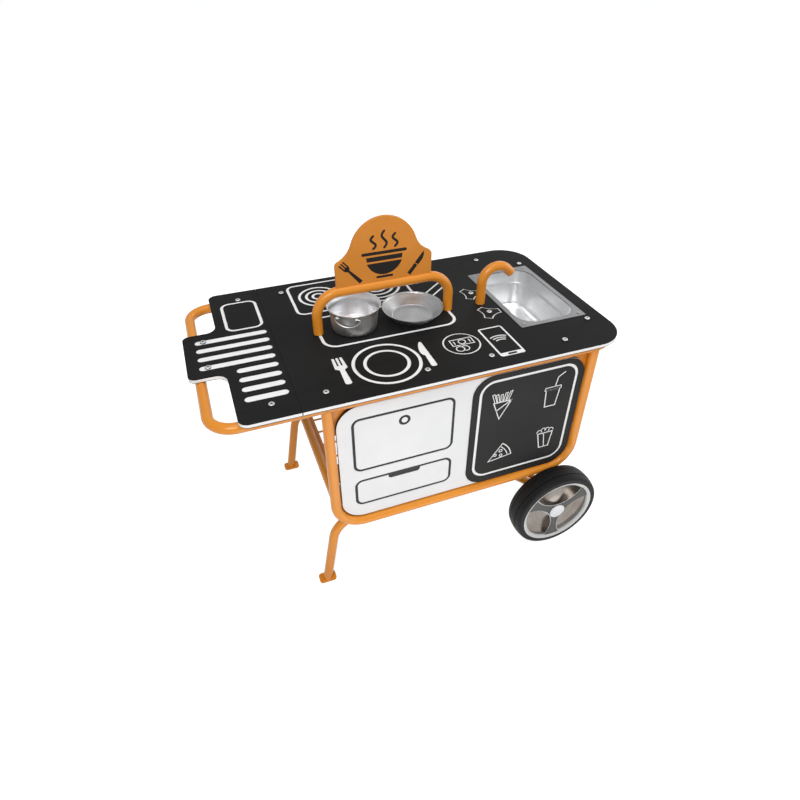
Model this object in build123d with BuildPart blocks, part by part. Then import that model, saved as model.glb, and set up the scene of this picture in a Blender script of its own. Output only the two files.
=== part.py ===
"""Street food station: a play cart with a kitchen worktop, a panelled frame, two feet and two wheels."""
import os
from math import atan2, cos, degrees, radians, sin, sqrt, tan

from build123d import *

os.makedirs("parts", exist_ok=True)

# Worktop boards
worktop_length = 808
worktop_depth = 494
worktop_height = 550
board_thickness = 8
tab_length = 70
tab_width = 163
board_seam = 110
seam_gap = 0.6
left_corner_radius = 18
right_corner_radius = 72
tab_corner_radius = 15
tab_fillet_radius = 22
skin_thickness = 0.8

# Round tube of the frame
tube_diameter = 21.3
tube_wall = 2
rail_inset = 22
handle_reach = 49.5
handle_bend = 48
frame_offset = 156.5
frame_width = 581.5
frame_bend = 64
bottom_rail_height = 200
cross_tube_turn = 35

# Undercarriage tubes, feet and axle
sled_step = 4
sled_bend = 64
foot_offset = 124
leg_lean = 10.2
foot_length = 40
foot_width = 26
foot_thickness = 5
foot_corner_radius = 7
axle_offset = 683.6
strut_run = 100
axle_diameter = 12

# Wheels
wheel_radius = 109
wheel_width = 54
wheel_overhang = 47.8
tyre_side_radius = 104.5
tyre_lip_radius = 92
tyre_seat_radius = 88
tyre_lip_width = 3
tyre_shoulder = 6
rim_bevel_radius = 85
rim_bevel_depth = 2.7
rim_wall = 5
spoke_depth = 5
web_thickness = 18
pocket_depth = 13
dish_inner_radius = 8
dish_outer_radius = 96
pocket_radius = 68
pocket_offset = 90
pocket_count = 3
pocket_start_angle = -90
pocket_edge = 2.2
cover_thickness = 1.5
cover_gap = 0.4
hub_radius = 24
hub_recess = 2
hub_cap_radius = 19.6
hub_cap_rise = 1.2
hub_cap_wall = 1.5
hub_cap_skirt = 2.5
nut_well_radius = 14
nut_well_depth = 10
bush_radius = 8
bush_flange_radius = 12
bush_flange = 1.5
bush_length = 14
bush_fit = 0.06
washer_radius = 12
washer_thickness = 2
axle_nut_width = 19
axle_nut_height = 7
plug_length = 20
axle_play = 0.3
axle_tail = 1

# Wire shelf
rod_diameter = 5
rod_pitch = 50
rod_count = 8
rod_saddle = 0.4
rod_overhang = 8
end_bar_width = 12
end_bar_height = 4
end_bar_offset = 16

# Front panel and menu board
panel_gap = 4
panel_thickness = 8
panel_line = 6
oven_left = 29.2
oven_width = 220
oven_height = 140.5
oven_drop = 30
oven_corner_radius = 18
oven_knob_radius = 12.5
oven_knob_drop = 30
drawer_height = 74.5
drawer_drop = 195
drawer_corner_radius = 18
pull_width = 72
pull_height = 16
pull_corner_radius = 7.5
menu_offset = 286
menu_thickness = 2
menu_corner_radius = 46
menu_border_inset = 15.6
menu_border_rise = 2.5
menu_border_line = 6.5
menu_border_radius = 35
gusset_leg = 78
gusset_thickness = 3
gusset_overlap = 4
lug_plate_height = 52
lug_plate_width = 34
lug_plate_drop = 203
panel_screw_inset = 30
panel_screw_bite = 5
panel_screw_diameter = 4
panel_screw_head_diameter = 8
panel_screw_head_height = 2.4

# Screws, nuts and lugs of the worktop
screw_diameter = 6
screw_hole_diameter = 6.6
screw_head_diameter = 12
screw_head_height = 2.8
screw_head_edge = 0.4
socket_share = 0.2
socket_depth_share = 0.55
hex_sides = 6
screw_tail = 1.5
nut_width = 10
nut_height = 5
lug_width = 26
lug_thickness = 3
lug_margin = 12
lug_tube_reach = 6
lug_corner_radius = 5
screw_row = 42
row_screws = (63.5, 163.5, 365, 503, 673)
end_screw_inset = 41
end_screw_row = 99
tab_screw_inset = 30

# Figures cut into the worktop, measured from its front left corner
slot_width = 16
slot_pitch = 32
slot_count = 8
long_slot_count = 4
first_slot_row = 71
slot_right = 101
slot_left = 20
long_slot_left = -47
block_left = 20
block_front = 318
block_width = 81
block_depth = 127
block_line = 6.5
block_corner_radius = 20
hob_left = 177
hob_front = 333
hob_width = 281
hob_depth = 146
hob_line = 6.5
hob_corner_radius = 20
small_ring_centre = (242, 408)
small_ring_radii = (47, 31, 16)
large_ring_centre = (381.5, 408)
large_ring_radii = (60.5, 45, 29.5, 14)
ring_line = 6.5
mat_left = 199
mat_width = 302
mat_depth = 132
mat_line = 7
mat_corner_radius = 32
grip_lines = (((462, 318), (542, 381)), ((542, 381), (542, 356)), ((542, 356), (492, 316)))
grip_line = 5
plate_centre = (300, 93)
plate_radii = (70, 47)
plate_line = 7
fork_centre = 211.1
fork_front = 52
fork_length = 92.5
fork_head_width = 26
fork_tip_width = 21.4
fork_tine_gap = 2.8
fork_tine_length = 28
fork_tine_count = 3
fork_tine_radius = 1.8
fork_shoulder = 6
fork_neck_width = 10.4
fork_handle_width = 14
fork_handle_length = 48.5
knife_left = 374.6
knife_front = 50.6
knife_length = 90.8
knife_width = 16.4
knife_tip_width = 5
knife_tip_radius = 2
knife_heel_rise = 4
knife_heel_width = 14.5
knife_handle_length = 40.4
knife_handle_width = 13.4
knife_neck_width = 11
knife_belly = 11
handle_end_radius = 5
coin_centre = (467, 105)
coin_radius = 40
coin_line = 3.5
phone_left = 520
phone_front = 32
phone_width = 57
phone_depth = 111
phone_line = 5
phone_corner_radius = 7
phone_bar = 13
phone_button_length = 20
phone_button_width = 5
valve_centre_offset = 580
valve_spacing = 93
valve_reach = 27
valve_lobe_width = 20
valve_waist = 17
valve_line = 2.6
valve_lobes = 3

# Sink pan and faucet
sink_offset = 694
sink_length = 265
sink_width = 162
sink_flange = 10
sink_corner_radius = 42
sink_flange_corner_radius = 4
sink_depth = 98
sink_ledge = 3.5
sink_ledge_drop = 33
sink_wall = 1.2
sink_taper = 3
sink_floor_radius = 15
sink_clearance = 1.5
sink_screw_inset = 12
sink_screw_diameter = 3.5
sink_screw_head_diameter = 6.5
sink_screw_head_height = 1.6
sink_screw_length = 7
faucet_offset = 580.5
faucet_height = 84.2
faucet_bend = 35.4
faucet_turn = 135
faucet_spout = 14
faucet_fit = 0.15
faucet_plate_width = 34
faucet_plate_end = 14

# Arch, sign, pot and pan
arch_centre_offset = 350
arch_span = 296.5
arch_height = 88
arch_bend = 50
arch_plug_length = 18
arch_bolt_diameter = 8
arch_bolt_head_width = 13
arch_bolt_head_height = 5.5
arch_bolt_flange_radius = 10
arch_bolt_flange = 2
arch_bolt_bite = 14
arch_bolt_fit = 0.3
sign_width = 207
sign_shoulder_height = 148
sign_shoulder_radius = 10
sign_dome_radius = 71
sign_top = 233
sign_thickness = 8
sign_saddle = 1.2
sign_valley_angle = 18
sign_tab_width = 28
sign_tab_height = 34
sign_tab_thickness = 3
sign_tab_drop = 6
sign_tab_spacing = 120
sign_screw_rise = 27
sign_screw_bite = 5
pot_offset = 281
pot_base_radius = 48
pot_wall_radius = 51
pot_rim_radius = 57.7
pot_height = 55
pot_lip_height = 20
pot_bottom_radius = 6
pan_offset = 414
pan_base_radius = 46
pan_wall_radius = 65
pan_rim_radius = 67.4
pan_height = 24
pan_lip_height = 4
pan_bottom_radius = 5
vessel_wall = 1.5
stud_diameter = 6
stud_nut_tail = 2

# Wire handles of the pot
pot_handle_angle = -120
pot_handle_width = 60
pot_handle_drop = 21
pot_handle_wire = 3
pot_handle_corner = 3.6
pot_handle_pin = 12
pot_handle_axis_drop = 6
pot_handle_gap = 1.5
pot_lug_width = 5
pot_lug_height = 9
pot_pin_fit = 0.06
pot_pin_play = 0.4

# Places that follow from the sizes above
tube_radius = tube_diameter / 2
overall_length = worktop_length + tab_length
left_edge = tab_length - overall_length / 2
front_edge = -worktop_depth / 2
board_base = worktop_height - board_thickness
rail_height = board_base - tube_radius
rail_reach = worktop_depth / 2 - rail_inset
loop_left = left_edge - handle_reach
loop_right = left_edge + worktop_length - rail_inset
frame_left = left_edge + frame_offset
frame_right = frame_left + frame_width
frame_middle = (frame_left + frame_right) / 2
axle_x = left_edge + axle_offset
axle_height = wheel_radius
sled_reach = rail_reach - sqrt(tube_diameter**2 - sled_step**2)
sled_height = bottom_rail_height - sled_step
wheel_face = worktop_depth / 2 + wheel_overhang
top_plane = Plane(origin=(left_edge, front_edge, worktop_height))
base_plane = Plane(origin=(left_edge, front_edge, board_base))
front_plane = Plane(origin=(0, -rail_reach, 0), x_dir=(1, 0, 0), z_dir=(0, -1, 0))
middle_plane = Plane(origin=(0, 0, 0), x_dir=(1, 0, 0), z_dir=(0, -1, 0))


def tube_section(start, direction, bored=True):
    """Ring of the frame tube, square to a path at its start."""
    with BuildSketch(Plane(origin=start, z_dir=direction)) as section:
        Circle(tube_radius)
        if bored:
            Circle(tube_radius - tube_wall, mode=Mode.SUBTRACT)
    return section.sketch


def swept_tube(path, bored=True):
    """Tube swept along a path."""
    with BuildPart() as tube:
        sweep(sections=tube_section(path @ 0, path % 0, bored), path=path)
    return tube.part


def cross_tube(x, z, half_length, bored=True):
    """Tube that runs across the cart, from front to back."""
    with BuildPart(Plane(origin=(x, 0, z), z_dir=(0, 1, 0))) as tube:
        Cylinder(tube_radius, 2 * half_length)
        if bored:
            Cylinder(tube_radius - tube_wall, 2 * half_length, mode=Mode.SUBTRACT)
    return tube.part


def to_rear(part):
    """Copy of a front piece for the rear side."""
    return mirror(part, about=Plane.XZ)


def round_corners(radius, *corners):
    """Round the corners of the open drawing that lie nearest to the given points."""
    for corner in corners:
        fillet(vertices().sort_by_distance(corner)[0], radius=radius)


def ring(radius, line):
    """Flat ring with the given outer radius and line width."""
    Circle(radius)
    Circle(radius - line, mode=Mode.SUBTRACT)


def frame_line(length, width, radius, line):
    """Outline of a rounded rectangle drawn with one line width."""
    RectangleRounded(length, width, radius)
    RectangleRounded(length - 2 * line, width - 2 * line, radius - line, mode=Mode.SUBTRACT)


def stroke(first, last, line):
    """Straight line with round ends."""
    length = sqrt((last[0] - first[0]) ** 2 + (last[1] - first[1]) ** 2)
    turn = degrees(atan2(last[1] - first[1], last[0] - first[0]))
    with Locations(((first[0] + last[0]) / 2, (first[1] + last[1]) / 2)):
        SlotCenterToCenter(length, line, rotation=turn)


def screws(seats, head_diameter, head_height, shank_diameter, shank_length):
    """Socket screws, one on each seat plane, with the head above the plane."""
    lower = (Align.CENTER, Align.CENTER, Align.MIN)
    upper = (Align.CENTER, Align.CENTER, Align.MAX)
    edge = head_height * screw_head_edge
    with BuildPart() as group:
        with Locations(*[Location(seat) for seat in seats]):
            Cylinder(shank_diameter / 2, shank_length, align=upper)
            Cylinder(head_diameter / 2, head_height - edge, align=lower)
        with Locations(*[Location(seat.offset(head_height - edge)) for seat in seats]):
            Cone(head_diameter / 2, head_diameter / 2 - edge, edge, align=lower)
        with BuildSketch(*[seat.offset(head_height) for seat in seats]):
            RegularPolygon(head_diameter * socket_share, side_count=hex_sides)
        extrude(amount=-head_height * socket_depth_share, mode=Mode.SUBTRACT)
    return group.part


def hex_nuts(seats, width, height, bore):
    """Hexagon nuts, one hanging below each seat plane."""
    with BuildPart() as group:
        with BuildSketch(*seats):
            RegularPolygon(width / 2, side_count=hex_sides, major_radius=False)
            Circle(bore / 2, mode=Mode.SUBTRACT)
        extrude(amount=-height)
    return group.part


def save(part, label):
    """Name a piece and write it out."""
    part.label = label
    export_step(part, f"parts/{label}.step")


# Handle loop: one closed tube under the worktop that also makes the push handle
with BuildLine(Plane.XY.offset(rail_height)) as loop_line:
    Polyline(
        (loop_right, 0),
        (loop_right, rail_reach),
        (loop_left, rail_reach),
        (loop_left, -rail_reach),
        (loop_right, -rail_reach),
        (loop_right, 0),
    )
    for end in (loop_left, loop_right):
        round_corners(handle_bend, (end, -rail_reach, rail_height), (end, rail_reach, rail_height))
handle_loop = swept_tube(loop_line.wire())
loop_core = swept_tube(loop_line.wire(), bored=False)
save(handle_loop, "handle_loop")

# Front and rear frames: a tube bent down, along and up again under the rail
with BuildLine(front_plane) as frame_path:
    Polyline(
        (frame_left, rail_height),
        (frame_left, bottom_rail_height),
        (frame_right, bottom_rail_height),
        (frame_right, rail_height),
    )
    for end in (frame_left, frame_right):
        round_corners(frame_bend, (end, -rail_reach, bottom_rail_height))
with BuildPart() as front_frame:
    add(swept_tube(frame_path.wire()))
    add(loop_core, mode=Mode.SUBTRACT)
frame_core = swept_tube(frame_path.wire(), bored=False)
rear_core = to_rear(frame_core)
save(front_frame.part, "front_frame")
save(to_rear(front_frame.part), "rear_frame")

# Cross tubes that tie the two frames together at their lower bends
cross_inset = frame_bend * (1 - cos(radians(cross_tube_turn)))
cross_height = bottom_rail_height + frame_bend * (1 - sin(radians(cross_tube_turn)))
cross_places = {"left": frame_left + cross_inset, "right": frame_right - cross_inset}
cross_cores = [cross_tube(x, cross_height, rail_reach, bored=False) for x in cross_places.values()]
for side, place in cross_places.items():
    with BuildPart() as tie:
        add(cross_tube(place, cross_height, rail_reach))
        add(frame_core, mode=Mode.SUBTRACT)
        add(rear_core, mode=Mode.SUBTRACT)
    save(tie.part, f"{side}_cross_tube")

# Undercarriage tubes: each makes a leg, a run beside the bottom rail and a strut to the axle
foot_x = left_edge + foot_offset
leg_slope = tan(radians(leg_lean))
sled_plane = Plane(origin=(0, -sled_reach, 0), x_dir=(1, 0, 0), z_dir=(0, -1, 0))
leg_top = foot_x + (sled_height - foot_thickness) * leg_slope
strut_top = axle_x - strut_run
with BuildLine(sled_plane) as sled_path:
    Polyline(
        (foot_x - foot_thickness * leg_slope, 0),
        (leg_top, sled_height),
        (strut_top, sled_height),
        (axle_x, axle_height),
    )
    for end in (leg_top, strut_top):
        round_corners(sled_bend, (end, -sled_reach, sled_height))
hub_seat = wheel_face - wheel_width + hub_recess
axle_tube_half = hub_seat - bush_flange - axle_play - washer_thickness
axle_core = cross_tube(axle_x, axle_height, axle_tube_half, bored=False)
with BuildPart() as front_sled:
    add(swept_tube(sled_path.wire()))
    split(bisect_by=Plane.XY.offset(foot_thickness), keep=Keep.TOP)
    add(axle_core, mode=Mode.SUBTRACT)
save(front_sled.part, "front_sled")
save(to_rear(front_sled.part), "rear_sled")

# Foot plates under the legs, flush with them on the outside
foot_reach = sled_reach + tube_radius - foot_width / 2
with BuildPart() as front_foot:
    with BuildSketch(Plane(origin=(foot_x, -foot_reach, 0))):
        RectangleRounded(foot_length, foot_width, foot_corner_radius)
    extrude(amount=foot_thickness)
save(front_foot.part, "front_foot")
save(to_rear(front_foot.part), "rear_foot")

# Axle tube, its plugs, the axle rod and what holds the wheels on it
axle_radius = axle_diameter / 2
nut_floor = spoke_depth + nut_well_depth
nut_seat = wheel_face - nut_floor + bush_flange + axle_play + washer_thickness
rod_half = nut_seat + axle_nut_height + axle_tail
axle_line = Plane(origin=(axle_x, 0, axle_height), x_dir=(1, 0, 0), z_dir=(0, -1, 0))
axle_ends = [axle_line, axle_line.rotated((180, 0, 0))]
save(cross_tube(axle_x, axle_height, axle_tube_half), "axle_tube")
with BuildPart() as axle_plugs:
    with BuildSketch(*[end.offset(axle_tube_half - plug_length) for end in axle_ends]):
        ring(tube_radius - tube_wall, tube_radius - tube_wall - axle_radius)
    extrude(amount=plug_length)
save(axle_plugs.part, "axle_plugs")
with BuildPart(axle_line) as axle_rod:
    Cylinder(axle_radius, 2 * rod_half)
save(axle_rod.part, "axle_rod")
washer_places = (axle_tube_half, nut_seat - washer_thickness)
with BuildPart() as axle_washers:
    with BuildSketch(*[end.offset(place) for end in axle_ends for place in washer_places]):
        ring(washer_radius, washer_radius - axle_radius)
    extrude(amount=washer_thickness)
save(axle_washers.part, "axle_washers")
nut_planes = [end.offset(nut_seat + axle_nut_height) for end in axle_ends]
save(hex_nuts(nut_planes, axle_nut_width, axle_nut_height, axle_diameter), "axle_nuts")

# Wheel: tyre, rim with dished pockets, spoke cover, hub cap and bushes
wheel_origin = (axle_x, -wheel_face, axle_height)
wheel_section = Plane(origin=wheel_origin, x_dir=(0, 0, 1), z_dir=(-1, 0, 0))
wheel_plane = Plane(origin=wheel_origin, x_dir=(1, 0, 0), z_dir=(0, 1, 0))
wheel_axis = Axis(wheel_origin, (0, 1, 0))
tyre_front = (tyre_side_radius, 0)
tyre_back = (tyre_side_radius, wheel_width)
with BuildPart() as front_tyre:
    with BuildSketch(wheel_section):
        with BuildLine():
            ThreePointArc(tyre_front, (wheel_radius, wheel_width / 2), tyre_back)
            Polyline(
                tyre_back,
                (tyre_lip_radius, wheel_width),
                (tyre_lip_radius, wheel_width - tyre_lip_width),
                (tyre_seat_radius, wheel_width - tyre_lip_width),
                (tyre_seat_radius, tyre_lip_width),
                (tyre_lip_radius, tyre_lip_width),
                (tyre_lip_radius, 0),
                tyre_front,
            )
        make_face()
        round_corners(tyre_shoulder, tyre_front, tyre_back)
    revolve(axis=wheel_axis)

web_back = spoke_depth + web_thickness
barrel_radius = tyre_seat_radius - rim_wall
dish_middle = (dish_inner_radius + dish_outer_radius) / 2
with BuildPart() as pocket_dish:
    with BuildSketch(wheel_section):
        with BuildLine():
            Line((dish_inner_radius, spoke_depth), (dish_outer_radius, spoke_depth))
            ThreePointArc(
                (dish_outer_radius, spoke_depth),
                (dish_middle, spoke_depth + pocket_depth),
                (dish_inner_radius, spoke_depth),
            )
        make_face()
    revolve(axis=wheel_axis)
    with BuildSketch(wheel_plane.offset(spoke_depth)):
        with PolarLocations(pocket_offset, pocket_count, start_angle=pocket_start_angle):
            Circle(pocket_radius)
        Circle(rim_bevel_radius - pocket_edge, mode=Mode.INTERSECT)
    extrude(amount=pocket_depth, mode=Mode.INTERSECT)
with BuildPart() as front_rim:
    with BuildSketch(wheel_section):
        Polygon(
            (tyre_lip_radius, 0),
            (rim_bevel_radius, rim_bevel_depth),
            (rim_bevel_radius, spoke_depth),
            (nut_well_radius, spoke_depth),
            (nut_well_radius, nut_floor),
            (bush_radius, nut_floor),
            (bush_radius, wheel_width - hub_recess),
            (hub_radius, wheel_width - hub_recess),
            (hub_radius, web_back),
            (barrel_radius, web_back),
            (barrel_radius, wheel_width),
            (tyre_lip_radius, wheel_width),
            (tyre_lip_radius, wheel_width - tyre_lip_width),
            (tyre_seat_radius, wheel_width - tyre_lip_width),
            (tyre_seat_radius, tyre_lip_width),
            (tyre_lip_radius, tyre_lip_width),
            align=None,
        )
    revolve(axis=wheel_axis)
    add(pocket_dish.part, mode=Mode.SUBTRACT)

with BuildPart() as front_spokes:
    with BuildSketch(wheel_plane.offset(spoke_depth)):
        Circle(rim_bevel_radius - cover_gap)
        with PolarLocations(pocket_offset, pocket_count, start_angle=pocket_start_angle):
            Circle(pocket_radius + pocket_edge, mode=Mode.SUBTRACT)
        Circle(hub_cap_radius)
        Circle(nut_well_radius, mode=Mode.SUBTRACT)
    extrude(amount=-cover_thickness)

cap_base = spoke_depth - cover_thickness
cap_edge = cap_base - hub_cap_skirt
cap_bulge = (cap_edge + hub_cap_rise) / 4
with BuildPart() as front_hub_cap:
    with BuildSketch(wheel_section):
        with BuildLine():
            crown = ThreePointArc(
                (0, -hub_cap_rise),
                (hub_cap_radius / 2, cap_bulge - hub_cap_rise),
                (hub_cap_radius, cap_edge),
            )
            Polyline(
                crown @ 1,
                (hub_cap_radius, cap_base),
                (hub_cap_radius - hub_cap_wall, cap_base),
                (hub_cap_radius - hub_cap_wall, cap_edge + hub_cap_wall),
                (0, hub_cap_wall - hub_cap_rise),
                crown @ 0,
            )
        make_face()
    revolve(axis=wheel_axis)

bush_bore = axle_radius + bush_fit
with BuildPart() as front_bushes:
    with BuildSketch(wheel_section):
        for flange, tail in ((nut_floor, 1), (wheel_width - hub_recess, -1)):
            Polygon(
                (bush_bore, flange - tail * bush_flange),
                (bush_flange_radius, flange - tail * bush_flange),
                (bush_flange_radius, flange),
                (bush_radius, flange),
                (bush_radius, flange + tail * bush_length),
                (bush_bore, flange + tail * bush_length),
                align=None,
            )
    revolve(axis=wheel_axis)

wheel_pieces = {
    "tyre": front_tyre.part,
    "rim": front_rim.part,
    "spokes": front_spokes.part,
    "hub_cap": front_hub_cap.part,
    "bushes": front_bushes.part,
}
for label, piece in wheel_pieces.items():
    save(piece, f"front_{label}")
    save(to_rear(piece), f"rear_{label}")

# Wire shelf welded under the two cross tubes
rod_radius = rod_diameter / 2
rod_height = cross_height - tube_radius - rod_radius + rod_saddle
rod_length = frame_width - 2 * cross_inset + 2 * rod_overhang
rod_spread = (rod_count - 1) * rod_pitch
rod_plane = Plane(origin=(frame_middle, 0, rod_height), x_dir=(0, 1, 0), z_dir=(1, 0, 0))
bar_reach = frame_width / 2 - cross_inset - end_bar_offset
with BuildPart() as shelf_grid:
    with BuildSketch(rod_plane.offset(-rod_length / 2)):
        with GridLocations(rod_pitch, 0, rod_count, 1):
            Circle(rod_radius)
    extrude(amount=rod_length)
    with Locations(*[(frame_middle + x, 0, rod_height + end_bar_height) for x in (-bar_reach, bar_reach)]):
        Box(end_bar_width, rod_spread + 2 * end_bar_width, end_bar_height)
    for core in cross_cores:
        add(core, mode=Mode.SUBTRACT)
save(shelf_grid.part, "shelf_grid")

# Worktop: two boards of white core under a thin black skin, with figures cut through the skin
core_thickness = board_thickness - skin_thickness
board_right = board_seam - seam_gap / 2
tab_front = (worktop_depth - tab_width) / 2
tab_back = worktop_depth - tab_front
middle_row = worktop_depth / 2
back_row = worktop_depth - screw_row
end_screw_x = worktop_length - end_screw_inset
valve_rows = (middle_row - valve_spacing / 2, middle_row + valve_spacing / 2)
tab_screw_rows = [first_slot_row + slot_pitch * row for row in (long_slot_count, slot_count - 1)]
rail_screws = [(x, y) for x in row_screws for y in (screw_row, back_row)]
end_screws = [(end_screw_x, y) for y in (end_screw_row, worktop_depth - end_screw_row)]
tab_screws = [(-tab_screw_inset, y) for y in tab_screw_rows]
valve_screws = [(valve_centre_offset, y) for y in valve_rows]
arch_feet = [(arch_centre_offset + side * arch_span / 2, middle_row) for side in (-1, 1)]
vessel_places = [(pot_offset, middle_row), (pan_offset, middle_row)]
sink_screws_at = [
    (
        sink_offset + side * (sink_width / 2 - sink_screw_inset),
        middle_row + end * (sink_length / 2 - sink_screw_inset),
    )
    for side in (-1, 1)
    for end in (-1, 1)
]
mouth_width = sink_width - 2 * sink_flange
mouth_length = sink_length - 2 * sink_flange


def left_outline():
    """Outline of the left board with its handle tab."""
    Polygon(
        (0, 0),
        (board_right, 0),
        (board_right, worktop_depth),
        (0, worktop_depth),
        (0, tab_back),
        (-tab_length, tab_back),
        (-tab_length, tab_front),
        (0, tab_front),
        align=None,
    )
    round_corners(left_corner_radius, (0, 0), (0, worktop_depth))
    round_corners(tab_fillet_radius, (0, tab_front), (0, tab_back))
    round_corners(tab_corner_radius, (-tab_length, tab_front), (-tab_length, tab_back))


def main_outline():
    """Outline of the main board with its two large right corners."""
    main_left = board_seam + seam_gap / 2
    Polygon(
        (main_left, 0),
        (worktop_length, 0),
        (worktop_length, worktop_depth),
        (main_left, worktop_depth),
        align=None,
    )
    round_corners(right_corner_radius, (worktop_length, 0), (worktop_length, worktop_depth))


def left_holes():
    """Screw holes of the left board."""
    with Locations(*[place for place in rail_screws if place[0] < board_seam], *tab_screws):
        Circle(screw_hole_diameter / 2, mode=Mode.SUBTRACT)


def main_holes():
    """Holes of the main board for screws, studs, arch, faucet and sink."""
    fixings = [place for place in rail_screws if place[0] > board_seam]
    with Locations(*fixings, *end_screws, *valve_screws, *vessel_places):
        Circle(screw_hole_diameter / 2, mode=Mode.SUBTRACT)
    with Locations(*arch_feet):
        Circle(arch_bolt_diameter / 2 + arch_bolt_fit, mode=Mode.SUBTRACT)
    with Locations(*sink_screws_at):
        Circle(sink_screw_diameter / 2, mode=Mode.SUBTRACT)
    with Locations((faucet_offset, middle_row)):
        Circle(tube_radius + faucet_fit, mode=Mode.SUBTRACT)
    with Locations((sink_offset, middle_row)):
        RectangleRounded(
            mouth_width + 2 * sink_clearance,
            mouth_length + 2 * sink_clearance,
            sink_corner_radius + sink_clearance,
            mode=Mode.SUBTRACT,
        )


with BuildPart() as worktop_left:
    with BuildSketch(base_plane):
        left_outline()
        left_holes()
    extrude(amount=core_thickness)
save(worktop_left.part, "worktop_left")

with BuildPart() as worktop_main:
    with BuildSketch(base_plane):
        main_outline()
        main_holes()
    extrude(amount=core_thickness)
save(worktop_main.part, "worktop_main")

# Figures of the left board: long slots and a chopping block
with BuildSketch() as left_figures:
    for row in range(slot_count):
        start = slot_left if row < slot_count - long_slot_count else long_slot_left
        with Locations(((start + slot_right) / 2, first_slot_row + slot_pitch * row)):
            SlotOverall(slot_right - start, slot_width)
    with Locations((block_left + block_width / 2, block_front + block_depth / 2)):
        frame_line(block_width, block_depth, block_corner_radius, block_line)

# Figures of the main board: hob, cooking mat, table setting, coin, phone and valves
fork_neck = fork_front + fork_handle_length
fork_end = fork_front + fork_length
fork_root = fork_end - fork_tine_length
tine_step = (fork_tip_width + fork_tine_gap) / fork_tine_count
fork_half = [
    (fork_handle_width / 2, fork_front),
    (fork_neck_width / 2, fork_neck),
    (fork_head_width / 2, fork_neck + fork_shoulder),
    (fork_tip_width / 2, fork_end),
]
fork_outline = [(fork_centre + x, y) for x, y in fork_half]
fork_outline += [(fork_centre - x, y) for x, y in reversed(fork_half)]
knife_tip = knife_front + knife_length
knife_heel = knife_front + knife_handle_length
knife_right = knife_left + knife_width
phone_bar_row = phone_front + phone_bar / 2
valve_turn = 360 / valve_lobes
phone_middle = phone_left + phone_width / 2
with BuildSketch() as valve_figure:
    with BuildLine():
        for lobe in range(valve_lobes):
            start = Vector(valve_reach, -valve_lobe_width / 2).rotate(Axis.Z, lobe * valve_turn)
            end = Vector(valve_reach, valve_lobe_width / 2).rotate(Axis.Z, lobe * valve_turn)
            waist = Vector(valve_waist, 0).rotate(Axis.Z, (lobe + 1 / 2) * valve_turn)
            Line(start, end)
            ThreePointArc(end, waist, start.rotate(Axis.Z, valve_turn))
    make_face()
    offset(amount=-valve_line, mode=Mode.SUBTRACT)
with BuildSketch() as main_figures:
    with Locations((hob_left + hob_width / 2, hob_front + hob_depth / 2)):
        frame_line(hob_width, hob_depth, hob_corner_radius, hob_line)
    for radius in small_ring_radii:
        with Locations(small_ring_centre):
            ring(radius, ring_line)
    for radius in large_ring_radii:
        with Locations(large_ring_centre):
            ring(radius, ring_line)
    with Locations((mat_left + mat_width / 2, middle_row)):
        frame_line(mat_width, mat_depth, mat_corner_radius, mat_line)
    for first, last in grip_lines:
        stroke(first, last, grip_line)
    for radius in plate_radii:
        with Locations(plate_centre):
            ring(radius, plate_line)
    with Locations(coin_centre):
        ring(coin_radius, coin_line)
    with Locations(*valve_screws):
        add(valve_figure.sketch)
    with Locations((phone_middle, phone_front + phone_depth / 2)):
        frame_line(phone_width, phone_depth, phone_corner_radius, phone_line)
    with Locations((phone_middle, phone_bar_row)):
        Rectangle(phone_width - 2 * phone_line, phone_bar)
        SlotOverall(phone_button_length, phone_button_width, mode=Mode.SUBTRACT)
with BuildSketch() as fork:
    Polygon(*fork_outline, align=None)
    round_corners(handle_end_radius, fork_outline[0], fork_outline[-1])
    for gap in range(1, fork_tine_count):
        with Locations((fork_centre + (gap - fork_tine_count / 2) * tine_step, fork_root)):
            Rectangle(fork_tine_gap, fork_tine_length, align=(Align.CENTER, Align.MIN), mode=Mode.SUBTRACT)
    fillet(vertices().group_by(Axis.Y)[-1], radius=fork_tine_radius)
with BuildSketch() as knife:
    with BuildLine():
        blade = ThreePointArc(
            (knife_right - knife_tip_width, knife_tip),
            (knife_left + knife_width / 6, (knife_tip + knife_heel + knife_belly) / 2),
            (knife_left, knife_heel + knife_belly),
        )
        Polyline(
            blade @ 1,
            (knife_right - knife_heel_width, knife_heel + knife_heel_rise),
            (knife_right - knife_neck_width, knife_heel),
            (knife_right - knife_handle_width, knife_front),
            (knife_right, knife_front),
            (knife_right, knife_tip),
            blade @ 0,
        )
    make_face()
    for side in (knife_right - knife_handle_width, knife_right):
        round_corners(handle_end_radius, (side, knife_front))
    round_corners(knife_tip_radius, (knife_right, knife_tip))

with BuildPart() as worktop_left_skin:
    with BuildSketch(top_plane.offset(-skin_thickness)):
        left_outline()
        left_holes()
        add(left_figures.sketch, mode=Mode.SUBTRACT)
    extrude(amount=skin_thickness)
save(worktop_left_skin.part, "worktop_left_skin")

with BuildPart() as worktop_main_skin:
    with BuildSketch(top_plane.offset(-skin_thickness)):
        main_outline()
        main_holes()
        add(main_figures.sketch, mode=Mode.SUBTRACT)
        add(fork.sketch, mode=Mode.SUBTRACT)
        add(knife.sketch, mode=Mode.SUBTRACT)
    extrude(amount=skin_thickness)
save(worktop_main_skin.part, "worktop_main_skin")

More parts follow.
